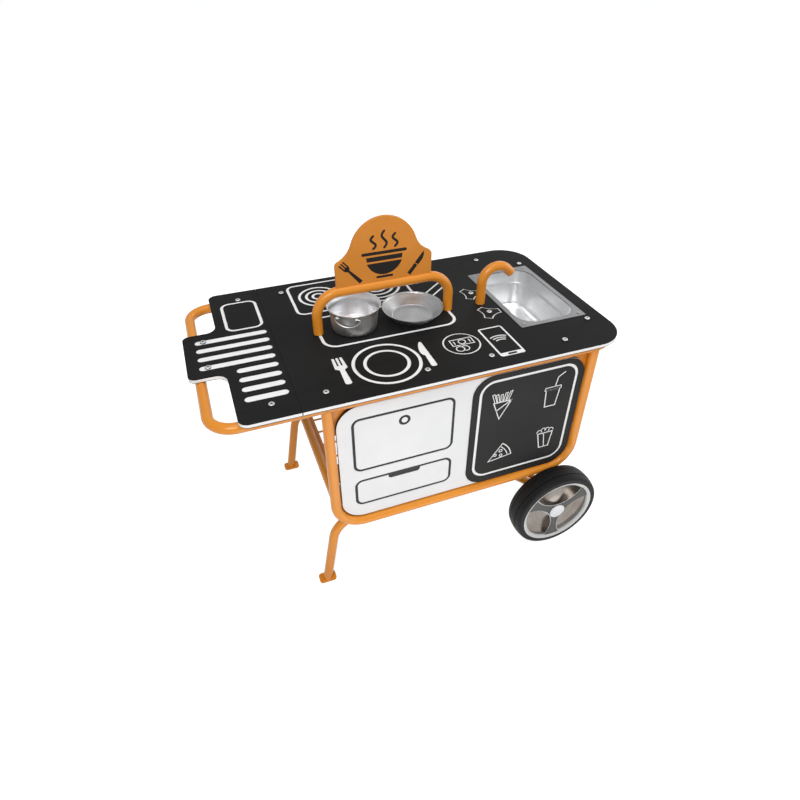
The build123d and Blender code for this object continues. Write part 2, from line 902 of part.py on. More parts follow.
# Lugs from the loop tube to the screws, and the screws with their nuts
rail_gap = rail_inset + lug_tube_reach
lug_reach = screw_row + lug_margin
lug_rows = ((rail_gap + lug_reach) / 2, worktop_depth - (rail_gap + lug_reach) / 2)
end_gap = worktop_length - rail_gap
end_lug_left = end_screw_x - lug_margin
tab_lug_left = lug_tube_reach - handle_reach
tab_lug_right = lug_margin - tab_screw_inset
with BuildPart() as worktop_lugs:
    with BuildSketch(base_plane):
        with Locations(*[(x, y) for x in row_screws for y in lug_rows]):
            RectangleRounded(lug_width, lug_reach - rail_gap, lug_corner_radius)
        with Locations(*[((end_gap + end_lug_left) / 2, y) for _, y in end_screws]):
            RectangleRounded(end_gap - end_lug_left, lug_width, lug_corner_radius)
        with Locations(*[((tab_lug_left + tab_lug_right) / 2, y) for _, y in tab_screws]):
            RectangleRounded(tab_lug_right - tab_lug_left, lug_width, lug_corner_radius)
        with Locations(*rail_screws, *end_screws, *tab_screws):
            Circle(screw_hole_diameter / 2, mode=Mode.SUBTRACT)
    extrude(amount=-lug_thickness)
    add(loop_core, mode=Mode.SUBTRACT)
save(worktop_lugs.part, "worktop_lugs")

screw_places = rail_screws + end_screws + tab_screws + valve_screws
screw_length = board_thickness + lug_thickness + nut_height + screw_tail
screw_seats = [Plane(top_plane.from_local_coords((x, y, 0))) for x, y in screw_places]
nut_seats = [Plane(base_plane.from_local_coords((x, y, -lug_thickness))) for x, y in screw_places]
save(
    screws(screw_seats, screw_head_diameter, screw_head_height, screw_diameter, screw_length),
    "worktop_screws",
)
save(hex_nuts(nut_seats, nut_width, nut_height, screw_diameter), "worktop_nuts")

# Front panel between the tubes of the front frame: white skin over a dark core
panel_left = frame_left + tube_radius + panel_gap
panel_right = frame_right - tube_radius - panel_gap
panel_top = rail_height - tube_radius - panel_gap
panel_base = bottom_rail_height + tube_radius + panel_gap
panel_radius = frame_bend - tube_radius - panel_gap
panel_width = panel_right - panel_left
panel_height = panel_top - panel_base
panel_centre = (frame_middle, (panel_top + panel_base) / 2)
panel_back = front_plane.offset(-panel_thickness)
gusset_back = panel_back.offset(-gusset_thickness)
screw_columns = [
    frame_left + tube_radius + panel_screw_inset,
    frame_right - tube_radius - panel_screw_inset,
]
screw_levels = [
    bottom_rail_height + tube_radius + panel_screw_inset,
    worktop_height - lug_plate_drop,
    rail_height - tube_radius - panel_screw_inset,
]
panel_screw_seats = [
    Plane(gusset_back.from_local_coords((x, z, 0)), z_dir=(0, 1, 0))
    for x in screw_columns
    for z in screw_levels
]
panel_screw_length = gusset_thickness + panel_screw_bite
with BuildPart() as front_panel:
    with BuildSketch(front_plane.offset(-skin_thickness)):
        with Locations(panel_centre):
            RectangleRounded(panel_width, panel_height, panel_radius)
    extrude(amount=skin_thickness - panel_thickness)
    with Locations(*[Location(seat) for seat in panel_screw_seats]):
        Hole(panel_screw_diameter / 2, panel_screw_length)
save(front_panel.part, "front_panel")

oven_middle = panel_left + oven_left + oven_width / 2
oven_top = panel_top - oven_drop
drawer_top = panel_top - drawer_drop
with BuildPart() as front_panel_skin:
    with BuildSketch(front_plane):
        with Locations(panel_centre):
            RectangleRounded(panel_width, panel_height, panel_radius)
    extrude(amount=-skin_thickness)
    with BuildSketch(front_plane):
        with Locations((oven_middle, oven_top - oven_height / 2)):
            frame_line(oven_width, oven_height, oven_corner_radius, panel_line)
        with Locations((oven_middle, drawer_top - drawer_height / 2)):
            frame_line(oven_width, drawer_height, drawer_corner_radius, panel_line)
        with Locations((oven_middle, oven_top - oven_knob_drop)):
            ring(oven_knob_radius, panel_line)
        with Locations((oven_middle, drawer_top - pull_height / 2)):
            RectangleRounded(pull_width, pull_height, pull_corner_radius)
        with Locations((oven_middle, drawer_top - pull_height / 4)):
            Rectangle(pull_width, pull_height / 2)
    extrude(amount=-skin_thickness, mode=Mode.SUBTRACT)
save(front_panel_skin.part, "front_panel_skin")

# Menu board over the right part of the panel: black skin over a white core
menu_left = panel_left + menu_offset
menu_width = panel_right - menu_left
menu_middle = (menu_left + panel_right) / 2


def menu_outline():
    """Outline of the menu board, which ends with the panel on the right."""
    with Locations((menu_middle, panel_centre[1])):
        Rectangle(menu_width, panel_height)
    round_corners(menu_corner_radius, (menu_left, panel_top), (menu_left, panel_base))
    round_corners(panel_radius, (panel_right, panel_top), (panel_right, panel_base))


with BuildPart() as menu_board:
    with BuildSketch(front_plane):
        menu_outline()
    extrude(amount=menu_thickness - skin_thickness)
save(menu_board.part, "menu_board")

with BuildPart() as menu_skin:
    with BuildSketch(front_plane.offset(menu_thickness - skin_thickness)):
        menu_outline()
    extrude(amount=skin_thickness)
    with BuildSketch(front_plane.offset(menu_thickness)):
        with Locations((menu_middle, panel_centre[1] + menu_border_rise)):
            frame_line(
                menu_width - 2 * menu_border_inset,
                panel_height - 2 * menu_border_inset,
                menu_border_radius,
                menu_border_line,
            )
    extrude(amount=-skin_thickness, mode=Mode.SUBTRACT)
save(menu_skin.part, "menu_skin")

# Gussets in the frame's corners and lugs at mid height, with the screws that hold the panel
seat_left = frame_left + gusset_overlap
seat_right = frame_right - gusset_overlap
seat_base = bottom_rail_height + gusset_overlap
seat_top = rail_height - gusset_overlap
gusset_side = gusset_leg + tube_radius - gusset_overlap
seat_radius = frame_bend - gusset_overlap
with BuildPart() as corner_gussets:
    with BuildSketch(panel_back):
        for corner_x, inward in ((seat_left, gusset_side), (seat_right, -gusset_side)):
            for corner_z, upward in ((seat_base, gusset_side), (seat_top, -gusset_side)):
                Polygon(
                    (corner_x, corner_z),
                    (corner_x + inward, corner_z),
                    (corner_x, corner_z + upward),
                    align=None,
                )
    extrude(amount=-gusset_thickness)
    with BuildSketch(panel_back):
        with Locations((frame_middle, (seat_base + seat_top) / 2)):
            Rectangle(seat_right - seat_left, seat_top - seat_base)
        round_corners(seat_radius, (seat_left, seat_base), (seat_right, seat_base))
    extrude(amount=-gusset_thickness, mode=Mode.INTERSECT)
    with Locations(*[Location(seat) for seat in panel_screw_seats]):
        Hole(panel_screw_diameter / 2, panel_screw_length)
    for core in (frame_core, loop_core, *cross_cores):
        add(core, mode=Mode.SUBTRACT)
save(corner_gussets.part, "corner_gussets")

with BuildPart() as panel_lugs:
    with BuildSketch(panel_back):
        for side in (seat_left + lug_plate_width / 2, seat_right - lug_plate_width / 2):
            with Locations((side, worktop_height - lug_plate_drop)):
                RectangleRounded(lug_plate_width, lug_plate_height, lug_corner_radius)
    extrude(amount=-gusset_thickness)
    with Locations(*[Location(seat) for seat in panel_screw_seats]):
        Hole(panel_screw_diameter / 2, panel_screw_length)
    add(frame_core, mode=Mode.SUBTRACT)
save(panel_lugs.part, "panel_lugs")
save(
    screws(
        panel_screw_seats,
        panel_screw_head_diameter,
        panel_screw_head_height,
        panel_screw_diameter,
        panel_screw_length,
    ),
    "panel_screws",
)

# Sink pan let into the worktop and its corner screws
sink_plane = Plane(top_plane.from_local_coords((sink_offset, middle_row, 0)))


def tub(inset):
    """Tub with a ledge and a rounded floor, drawn in from the bowl's outside by the inset."""
    band = sink_ledge_drop + sink_wall - inset
    step = sink_ledge + inset
    with BuildPart() as shape:
        with BuildSketch(sink_plane.offset(sink_wall)):
            RectangleRounded(mouth_width - 2 * inset, mouth_length - 2 * inset, sink_corner_radius - inset)
        extrude(amount=-band)
        with BuildSketch(sink_plane.offset(sink_wall - band)):
            RectangleRounded(mouth_width - 2 * step, mouth_length - 2 * step, sink_corner_radius - step)
        extrude(amount=band + inset - sink_depth, taper=sink_taper)
        fillet(edges().group_by(Axis.Z)[0], radius=sink_floor_radius - inset)
    return shape.part


with BuildPart() as sink_pan:
    add(tub(0))
    with BuildSketch(sink_plane):
        RectangleRounded(sink_width, sink_length, sink_flange_corner_radius)
        with Locations(*[(x - sink_offset, y - middle_row) for x, y in sink_screws_at]):
            Circle(sink_screw_diameter / 2, mode=Mode.SUBTRACT)
    extrude(amount=sink_wall)
    add(tub(sink_wall), mode=Mode.SUBTRACT)
save(sink_pan.part, "sink_pan")
sink_screw_seats = [Plane(top_plane.from_local_coords((x, y, sink_wall))) for x, y in sink_screws_at]
save(
    screws(
        sink_screw_seats,
        sink_screw_head_diameter,
        sink_screw_head_height,
        sink_screw_diameter,
        sink_screw_length,
    ),
    "sink_screws",
)

# Faucet: a bent tube through the board, welded to a plate under it
faucet_x = left_edge + faucet_offset
bend_level = worktop_height + faucet_height - faucet_bend
with BuildLine(middle_plane) as faucet_line:
    Line((faucet_x, board_base), (faucet_x, bend_level))
    hook = CenterArc((faucet_x + faucet_bend, bend_level), faucet_bend, 180, -faucet_turn)
    Line(hook @ 1, (hook @ 1) + (hook % 1) * faucet_spout)
save(swept_tube(faucet_line.wire()), "faucet")

with BuildPart() as faucet_plate:
    with BuildSketch(base_plane):
        with Locations((valve_centre_offset, middle_row)):
            RectangleRounded(
                faucet_plate_width,
                valve_spacing + 2 * faucet_plate_end,
                lug_corner_radius,
            )
        with Locations(*valve_screws):
            Circle(screw_hole_diameter / 2, mode=Mode.SUBTRACT)
    extrude(amount=-lug_thickness)
save(faucet_plate.part, "faucet_plate")

# Arch over the stove, with plugs in its feet and bolts from below
arch_x = left_edge + arch_centre_offset
arch_top = worktop_height + arch_height
arch_ends = (arch_x - arch_span / 2, arch_x + arch_span / 2)
with BuildLine(middle_plane) as arch_line:
    Polyline(
        (arch_ends[0], worktop_height),
        (arch_ends[0], arch_top),
        (arch_ends[1], arch_top),
        (arch_ends[1], worktop_height),
    )
    round_corners(arch_bend, (arch_ends[0], 0, arch_top), (arch_ends[1], 0, arch_top))
arch_core = swept_tube(arch_line.wire(), bored=False)
save(swept_tube(arch_line.wire()), "arch")

with BuildPart() as arch_plugs:
    with BuildSketch(top_plane):
        with Locations(*arch_feet):
            Circle(tube_radius - tube_wall)
    extrude(amount=arch_plug_length)
    with BuildSketch(top_plane):
        with Locations(*arch_feet):
            Circle(arch_bolt_diameter / 2)
    extrude(amount=arch_bolt_bite, mode=Mode.SUBTRACT)
save(arch_plugs.part, "arch_plugs")

with BuildPart() as arch_bolts:
    with BuildSketch(base_plane):
        with Locations(*arch_feet):
            Circle(arch_bolt_flange_radius)
    extrude(amount=-arch_bolt_flange)
    with BuildSketch(base_plane.offset(-arch_bolt_flange)):
        with Locations(*arch_feet):
            RegularPolygon(arch_bolt_head_width / 2, side_count=hex_sides, major_radius=False)
    extrude(amount=-arch_bolt_head_height)
    with BuildSketch(base_plane):
        with Locations(*arch_feet):
            Circle(arch_bolt_diameter / 2)
    extrude(amount=board_thickness + arch_bolt_bite)
save(arch_bolts.part, "arch_bolts")

# Sign standing on the arch, held by two tabs behind it
sign_plane = Plane(origin=(arch_x, 0, worktop_height), x_dir=(1, 0, 0), z_dir=(0, -1, 0))
sign_base = arch_height + tube_radius - sign_saddle
sign_half = sign_width / 2
dome_level = sign_top - sign_dome_radius
dome_turn = 180 - 2 * sign_valley_angle
tab_seat = sign_plane.offset(-sign_thickness / 2)
tab_back_face = tab_seat.offset(-sign_tab_thickness)
sign_screw_level = arch_height + sign_screw_rise
sign_screws_at = [(side * sign_tab_spacing / 2, sign_screw_level) for side in (-1, 1)]
sign_screw_seats = [
    Plane(tab_back_face.from_local_coords((x, z, 0)), z_dir=(0, 1, 0))
    for x, z in sign_screws_at
]
sign_screw_length = sign_tab_thickness + sign_screw_bite
with BuildPart() as sign_board:
    with BuildSketch(sign_plane):
        with BuildLine():
            dome = CenterArc((0, dome_level), sign_dome_radius, sign_valley_angle, dome_turn)
            right = TangentArc(dome @ 0, (sign_half, sign_shoulder_height), tangent=(dome % 0) * -1)
            left = TangentArc(dome @ 1, (-sign_half, sign_shoulder_height), tangent=dome % 1)
            Polyline(left @ 1, (-sign_half, sign_base), (sign_half, sign_base), right @ 1)
        make_face()
        round_corners(
            sign_shoulder_radius,
            (sign_half, sign_shoulder_height),
            (-sign_half, sign_shoulder_height),
        )
    extrude(amount=sign_thickness / 2, both=True)
    add(arch_core, mode=Mode.SUBTRACT)
    with Locations(*[Location(seat) for seat in sign_screw_seats]):
        Hole(panel_screw_diameter / 2, sign_screw_length)
save(sign_board.part, "sign_board")

with BuildPart() as sign_tabs:
    with BuildSketch(tab_seat):
        for side in (-1, 1):
            with Locations((side * sign_tab_spacing / 2, arch_height + sign_tab_drop)):
                Rectangle(sign_tab_width, sign_tab_height, align=(Align.CENTER, Align.MIN))
    extrude(amount=-sign_tab_thickness)
    add(arch_core, mode=Mode.SUBTRACT)
    with Locations(*[Location(seat) for seat in sign_screw_seats]):
        Hole(panel_screw_diameter / 2, sign_screw_length)
save(sign_tabs.part, "sign_tabs")
save(
    screws(
        sign_screw_seats,
        panel_screw_head_diameter,
        panel_screw_head_height,
        panel_screw_diameter,
        sign_screw_length,
    ),
    "sign_screws",
)

# Pot and pan: spun metal vessels, each held by a stud and a nut under the board
vessel_centres = [top_plane.from_local_coords((x, y, 0)) for x, y in vessel_places]


def spun_form(centre, sizes, inset):
    """Filled form of a spun vessel with a flared lip, drawn in by the inset."""
    base_radius, wall_radius, rim_radius, height, lip_height, bottom_radius = sizes
    lip_level = height - lip_height
    with BuildPart() as form:
        with BuildSketch(Plane(origin=centre, x_dir=(1, 0, 0), z_dir=(0, -1, 0))):
            with BuildLine():
                lip = TangentArc(
                    (wall_radius - inset, lip_level),
                    (rim_radius - inset, height),
                    tangent=(wall_radius - base_radius, lip_level),
                )
                Polyline(lip @ 1, (0, height), (0, inset), (base_radius - inset, inset), lip @ 0)
            make_face()
            round_corners(bottom_radius - inset, (base_radius - inset, inset))
        revolve(axis=Axis(centre, (0, 0, 1)))
    return form.part


pot_sizes = (pot_base_radius, pot_wall_radius, pot_rim_radius, pot_height, pot_lip_height, pot_bottom_radius)
pan_sizes = (pan_base_radius, pan_wall_radius, pan_rim_radius, pan_height, pan_lip_height, pan_bottom_radius)
pot_core = spun_form(vessel_centres[0], pot_sizes, 0)
with BuildPart() as pot:
    add(pot_core)
    add(spun_form(vessel_centres[0], pot_sizes, vessel_wall), mode=Mode.SUBTRACT)
with BuildPart() as pan:
    add(spun_form(vessel_centres[1], pan_sizes, 0))
    add(spun_form(vessel_centres[1], pan_sizes, vessel_wall), mode=Mode.SUBTRACT)
save(pot.part, "pot")
save(pan.part, "pan")

with BuildPart() as vessel_studs:
    with BuildSketch(top_plane):
        with Locations(*vessel_places):
            Circle(stud_diameter / 2)
    extrude(amount=-board_thickness - nut_height - stud_nut_tail)
save(vessel_studs.part, "vessel_studs")
stud_nut_seats = [Plane(base_plane.from_local_coords((x, y, 0))) for x, y in vessel_places]
save(hex_nuts(stud_nut_seats, nut_width, nut_height, stud_diameter), "vessel_nuts")

# Drop handles of the pot: bent wire whose ends turn in two lugs each
wire_radius = pot_handle_wire / 2
handle_level = pot_height - pot_handle_axis_drop
wall_slope = (pot_wall_radius - pot_base_radius) / (pot_height - pot_lip_height)
wall_there = pot_base_radius + wall_slope * handle_level
hinge_reach = wall_there + pot_handle_gap + wire_radius
handle_half = pot_handle_width / 2 - wire_radius
handle_fall = pot_handle_drop - wire_radius
corner_run = pot_handle_corner * handle_half / handle_fall
lug_shift = handle_half - corner_run - pot_pin_play - pot_lug_width / 2
pin_end = handle_half - pot_handle_pin
sides = {"front": pot_handle_angle, "rear": pot_handle_angle + 180}


def hinge_plane(angle, reach):
    """Upright plane facing outward from the pot, at the level of the handle's hinge."""
    outward = Vector(cos(radians(angle)), sin(radians(angle)), 0)
    along = Vector(-sin(radians(angle)), cos(radians(angle)), 0)
    place = vessel_centres[0] + outward * reach + Vector(0, 0, handle_level)
    return Plane(origin=place, x_dir=along, z_dir=outward)


with BuildPart() as pot_lugs:
    for angle in sides.values():
        for side in (-1, 1):
            lug_plane = hinge_plane(angle, hinge_reach)
            lug_face = Plane(
                origin=lug_plane.from_local_coords((side * lug_shift, 0, 0)),
                x_dir=lug_plane.z_dir,
                z_dir=lug_plane.x_dir,
            )
            with BuildSketch(lug_face):
                Circle(pot_lug_height / 2)
                Rectangle(hinge_reach / 2, pot_lug_height, align=(Align.MAX, Align.CENTER))
            extrude(amount=pot_lug_width / 2, both=True)
            with BuildSketch(lug_face):
                Circle(wire_radius + pot_pin_fit)
            extrude(amount=pot_lug_width, both=True, mode=Mode.SUBTRACT)
    add(pot_core, mode=Mode.SUBTRACT)
save(pot_lugs.part, "pot_lugs")

for label, angle in sides.items():
    handle_plane = hinge_plane(angle, hinge_reach)
    with BuildLine(handle_plane) as handle_wire:
        Line((pin_end, 0), (handle_half, 0))
        ThreePointArc((handle_half, 0), (0, -handle_fall), (-handle_half, 0))
        Line((-handle_half, 0), (-pin_end, 0))
        for side in (-handle_half, handle_half):
            round_corners(pot_handle_corner, handle_plane.from_local_coords((side, 0, 0)))
    with BuildPart() as pot_handle:
        with BuildSketch(Plane(origin=handle_wire.wire() @ 0, z_dir=handle_wire.wire() % 0)):
            Circle(wire_radius)
        sweep(path=handle_wire.wire())
    save(pot_handle.part, f"{label}_pot_handle")
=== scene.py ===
"""Look of the street food station: materials, small figures, floor, light and camera."""

from math import cos, degrees, pi, radians, sin

import bmesh
import bpy
from mathutils import Matrix, Vector


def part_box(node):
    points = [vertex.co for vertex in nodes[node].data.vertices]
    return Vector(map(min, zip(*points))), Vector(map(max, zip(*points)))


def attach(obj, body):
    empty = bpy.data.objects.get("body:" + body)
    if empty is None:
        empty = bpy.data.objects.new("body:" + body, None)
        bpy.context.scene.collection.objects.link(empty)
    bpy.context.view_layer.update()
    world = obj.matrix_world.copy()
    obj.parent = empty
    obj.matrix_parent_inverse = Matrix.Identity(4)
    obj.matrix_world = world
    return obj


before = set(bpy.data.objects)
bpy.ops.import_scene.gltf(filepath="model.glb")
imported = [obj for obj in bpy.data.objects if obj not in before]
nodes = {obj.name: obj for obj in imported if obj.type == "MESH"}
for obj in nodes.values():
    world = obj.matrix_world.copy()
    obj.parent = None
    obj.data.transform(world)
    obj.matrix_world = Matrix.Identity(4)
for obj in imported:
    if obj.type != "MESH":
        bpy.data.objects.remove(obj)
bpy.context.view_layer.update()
scene = bpy.context.scene


def middle(node):
    """Middle of a node's box."""
    low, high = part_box(node)
    return (low + high) / 2


# Places read from the frame, in metres; figures count in mm from the worktop's front left corner
MM = 0.001
WORKTOP_LENGTH = 808 * MM
skin_low, skin_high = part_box("worktop_main_skin")
CORNER = Vector((skin_high.x - WORKTOP_LENGTH, skin_low.y, skin_high.z))
MENU_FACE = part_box("menu_skin")[0].y
SIGN_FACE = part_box("sign_board")[0].y
AXLE = middle("front_tyre")
POT = middle("pot")
PAN = middle("pan")
SINK_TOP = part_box("sink_pan")[1].z
SCREW_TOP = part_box("worktop_screws")[1].z
BOARD_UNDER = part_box("worktop_main")[0].z
BOARD_JOINT = (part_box("worktop_left")[1].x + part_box("worktop_main")[0].x) / 2
RIM_FACE = -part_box("front_rim")[0].y

# Where a finish, or a painted light or shade, changes on one piece; a pair gives where the change starts
# and where it ends
UNDER_SKIN = (0.9 * MM, 1.2 * MM)
# Half width of the black painted along the worktop boards' joint as painted shade
JOINT_SHADE_HALF_WIDTH = (0.6 * MM, 1.2 * MM)
# Depths below the sink's top where the bowl's painted light starts, and where the floor's brighter painted
# light starts
SINK_EDGE_DEPTH = (1.2 * MM, 3.0 * MM)
SINK_FLOOR_DEPTH = (86 * MM, 96 * MM)
# Depth below the screw tops from which the socket is painted dark as painted shade
SOCKET_DEPTH = (0.7 * MM, 1.2 * MM)
RIM_RING_RADIUS = (82.5 * MM, 83.1 * MM)
POCKET_EDGE_DEPTH = (5.3 * MM, 5.1 * MM)
TYRE_SIDE_RADIUS = 104.5 * MM
# Where the tyre's grooves lie and how wide they are; the grooves are painted near black as painted shade
GROOVE_ASIDE = 10.0 * MM
GROOVE_HALF_WIDTH = (1.0 * MM, 1.5 * MM)

# Shades of the materials as linear colours, each a dark and a light one; those that are painted light,
# shade or reflection say so in their names
ORANGE_COAT = ((0.71, 0.247, 0.018), (0.765, 0.279, 0.025))
ORANGE_BOARD = ((0.66, 0.236, 0.027), (0.71, 0.260, 0.036))
WHITE_BOARD = ((0.83, 0.83, 0.825), (0.88, 0.88, 0.875))
DARK_BOARD = ((0.010, 0.010, 0.010), (0.016, 0.016, 0.016))
BLACK_SHEET = ((0.0105, 0.0105, 0.0105), (0.0160, 0.0160, 0.0158))
MENU_SHEET = ((0.0165, 0.0165, 0.0165), (0.0235, 0.0235, 0.023))
WHITE_SHEET = ((0.765, 0.77, 0.775), (0.815, 0.815, 0.815))
WHITE_INK = ((0.76, 0.76, 0.75), (0.83, 0.83, 0.82))
BLACK_INK = ((0.008, 0.007, 0.006), (0.014, 0.013, 0.012))
# Vessel steel: the pot painted light inside, both vessels painted darker outside and the pan darker inside,
# as painted light and shade
POT_INSIDE_PAINTED_LIGHT = ((0.77, 0.78, 0.80), (0.87, 0.875, 0.88))
POT_OUTSIDE_PAINTED_SHADE = ((0.60, 0.59, 0.58), (0.76, 0.75, 0.74))
PAN_INSIDE_PAINTED_SHADE = ((0.45, 0.45, 0.455), (0.58, 0.58, 0.585))
# Sink shades: the flange painted dark as painted shade, the walls lighter and the floor lightest as painted
# light
SINK_FLANGE_PAINTED_SHADE = ((0.22, 0.22, 0.225), (0.30, 0.30, 0.305))
SINK_WALLS_PAINTED_LIGHT = ((0.68, 0.69, 0.70), (0.79, 0.795, 0.80))
SINK_FLOOR_PAINTED_LIGHT = ((0.90, 0.905, 0.91), (0.96, 0.965, 0.97))
FIXING_STEEL = ((0.30, 0.30, 0.30), (0.48, 0.48, 0.475))
WIRE_STEEL = ((0.56, 0.56, 0.55), (0.74, 0.74, 0.73))
HEAD_STEEL = ((0.56, 0.56, 0.56), (0.74, 0.74, 0.73))
TYRE_BLACK = ((0.006, 0.006, 0.0065), (0.012, 0.0117, 0.0114))
# Brownish shades of the rim's dishes: a painted reflection
RIM_DISH_PAINTED_REFLECTION = ((0.205, 0.172, 0.146), (0.315, 0.294, 0.272))
RIM_PALE = ((0.52, 0.52, 0.51), (0.62, 0.62, 0.61))
NYLON = ((0.70, 0.69, 0.66), (0.78, 0.77, 0.74))
CAP_PLASTIC = ((0.70, 0.705, 0.715), (0.76, 0.765, 0.775))
SPOKE_PLASTIC = ((0.034, 0.034, 0.0325), (0.050, 0.050, 0.0485))

# Single colours; those that are painted shade say so in their names
# Black of the boards' underside skin, also painted along their joint as painted shade
UNDERSIDE_BLACK_AND_JOINT_SHADE = (0.014, 0.014, 0.014)
# Dark painted in the screws' sockets: painted shade
SOCKET_PAINTED_SHADE = (0.05, 0.05, 0.05)
# Near black painted in the tyre's grooves: painted shade
GROOVE_PAINTED_SHADE = (0.001, 0.001, 0.001)
FLOOR_PALE = (0.58, 0.58, 0.58)
ROOM_LEVEL = (0.84, 0.84, 0.85)
ROOM_TOP = (0.60, 0.605, 0.615)
WHITE = (1, 1, 1)
BLACK = (0, 0, 0)


class Nodes:
    """Short names for the nodes of a material or of the world."""

    def __init__(self, tree):
        self.tree = tree

    def node(self, kind, **values):
        made = self.tree.nodes.new(kind)
        for key, value in values.items():
            setattr(made, key, value)
        return made

    def feed(self, socket, value):
        """Link a socket, or set it to a constant."""
        if isinstance(value, bpy.types.NodeSocket):
            self.tree.links.new(value, socket)
        else:
            socket.default_value = value

    def math(self, operation, first, second=0.0):
        made = self.node("ShaderNodeMath", operation=operation)
        for socket, value in zip(made.inputs, (first, second)):
            self.feed(socket, value)
        return made.outputs[0]

    def split(self, vector):
        made = self.node("ShaderNodeSeparateXYZ")
        self.feed(made.inputs[0], vector)
        return made.outputs

    def join(self, x, y, z):
        made = self.node("ShaderNodeCombineXYZ")
        for socket, value in zip(made.inputs, (x, y, z)):
            self.feed(socket, value)
        return made.outputs[0]

    def dot(self, first, second, across):
        """Dot product of two vectors over two named coordinates."""
        one, other = (self.math("MULTIPLY", first[name], second[name]) for name in across)
        return self.math("ADD", one, other)

    def span(self, value, low, high, to_low=0.0, to_high=1.0):
        """Map a value from one range to another."""
        made = self.node("ShaderNodeMapRange")
        for socket, given in zip(made.inputs, (value, low, high, to_low, to_high)):
            self.feed(socket, given)
        return made.outputs[0]

    def blend(self, factor, first, second):
        """Mix of two colours."""
        made = self.node("ShaderNodeMix", data_type="RGBA")
        self.feed(made.inputs[0], factor)
        for socket, value in zip((made.inputs[6], made.inputs[7]), (first, second)):
            self.feed(socket, value if isinstance(value, bpy.types.NodeSocket) else (*value, 1.0))
        return made.outputs[2]

    def seen(self, mirrored_share):
        """One for what the camera sees, a share for mirrors and glass, zero for other light."""
        path = self.node("ShaderNodeLightPath").outputs
        mirrored = self.math("MAXIMUM", path["Is Glossy Ray"], path["Is Transmission Ray"])
        return self.math("MAXIMUM", self.math("MULTIPLY", mirrored, mirrored_share), path["Is Camera Ray"])


class Shader(Nodes):
    """Builds one procedural material around a Principled shader; noise scales count per metre."""

    NOISE_LOW, NOISE_HIGH = 0.3, 0.7

    def __init__(self, name, metallic=0.0, specular=0.5):
        self.material = bpy.data.materials.new(name)
        self.material.use_nodes = True
        super().__init__(self.material.node_tree)
        self.bsdf = self.tree.nodes["Principled BSDF"]
        self.bsdf.inputs["Metallic"].default_value = metallic
        self.bsdf.inputs["Specular IOR Level"].default_value = specular
        self.place = self.node("ShaderNodeTexCoord").outputs["Object"]

    def stretch(self, scale, shift=(0, 0, 0)):
        """Place on the object, scaled and shifted."""
        made = self.node("ShaderNodeMapping")
        self.feed(made.inputs["Vector"], self.place)
        made.inputs["Location"].default_value = shift
        made.inputs["Scale"].default_value = scale
        return made.outputs[0]

    def noise(self, scale, detail=2.0, vector=None):
        made = self.node("ShaderNodeTexNoise")
        self.feed(made.inputs["Vector"], vector if vector is not None else self.place)
        made.inputs["Scale"].default_value = scale
        made.inputs["Detail"].default_value = detail
        return made.outputs["Fac"]

    def spread(self, noise, to_low=0.0, to_high=1.0):
        """Stretch the usual range of a noise over another range."""
        return self.span(noise, self.NOISE_LOW, self.NOISE_HIGH, to_low, to_high)

    def wear(self, first, second, reach=0.3):
        """Two noises as one, stretched from zero to one."""
        return self.span(self.math("ADD", first, second), 1.0 - reach, 1.0 + reach)

    def mottle(self, noise, shades):
        """Dark and light shade mixed by a noise."""
        return self.blend(self.spread(noise), *shades)

    def within(self, distance, limits):
        """One up to the first limit, zero from the second one on."""
        return self.span(distance, *limits, 1.0, 0.0)

    def below(self, top, depths):
        """Zero down to the first depth under a level, one from the second depth on."""
        start, end = depths
        return self.span(self.split(self.place)["Z"], top - start, top - end)

    def off_middle(self):
        """Distance from the object's middle plane, the same on the front and the rear side."""
        return self.math("ABSOLUTE", self.split(self.place)["Y"])

    def color(self, value):
        self.feed(self.bsdf.inputs["Base Color"], value)

    def rough(self, value):
        self.feed(self.bsdf.inputs["Roughness"], value)

    def soften(self, radius):
        """Round the look of sharp edges."""
        made = self.node("ShaderNodeBevel", samples=4)
        made.inputs["Radius"].default_value = radius
        self.feed(self.bsdf.inputs["Normal"], made.outputs[0])

    def bump(self, height, distance, strength):
        """Add relief on top of the relief so far."""
        made = self.node("ShaderNodeBump")
        made.inputs["Strength"].default_value = strength
        made.inputs["Distance"].default_value = distance
        self.feed(made.inputs["Height"], height)
        normal = self.bsdf.inputs["Normal"]
        if normal.is_linked:
            self.feed(made.inputs["Normal"], normal.links[0].from_socket)
        self.feed(normal, made.outputs[0])

    def reach(self, centre, across):
        """Distance from an axis through a centre; across names the two coordinates square to it."""
        parts = self.split(self.stretch((1, 1, 1), tuple(-v for v in centre)))
        return self.math("SQRT", self.dot(parts, parts, across)), parts

    def turned(self, centre, across, pitch, sweep):
        """Turning marks: fine along the radius and the axis, long round the axis."""
        radius, parts = self.reach(centre, across)
        along = next(parts[name] for name in "XYZ" if name not in across)
        depth = self.math("MULTIPLY", self.math("ADD", radius, along), pitch)
        sides = [self.math("MULTIPLY", self.math("DIVIDE", parts[name], radius), sweep) for name in across]
        return self.noise(scale=1.0, detail=3.0, vector=self.join(depth, *sides))


def orange_coat():
    """Orange powder coat with a fine peel and a little shade variation."""
    look = Shader("orange_powder_coat", specular=0.38)
    look.soften(0.8 * MM)
    look.color(look.mottle(look.noise(scale=7.0, detail=3.0), ORANGE_COAT))
    look.rough(look.spread(look.noise(scale=60.0, detail=4.0), 0.13, 0.23))
    look.bump(look.noise(scale=650.0), distance=0.1 * MM, strength=0.25)
    look.bump(look.noise(scale=2600.0, detail=1.0), distance=0.08 * MM, strength=0.3)
    return look.material


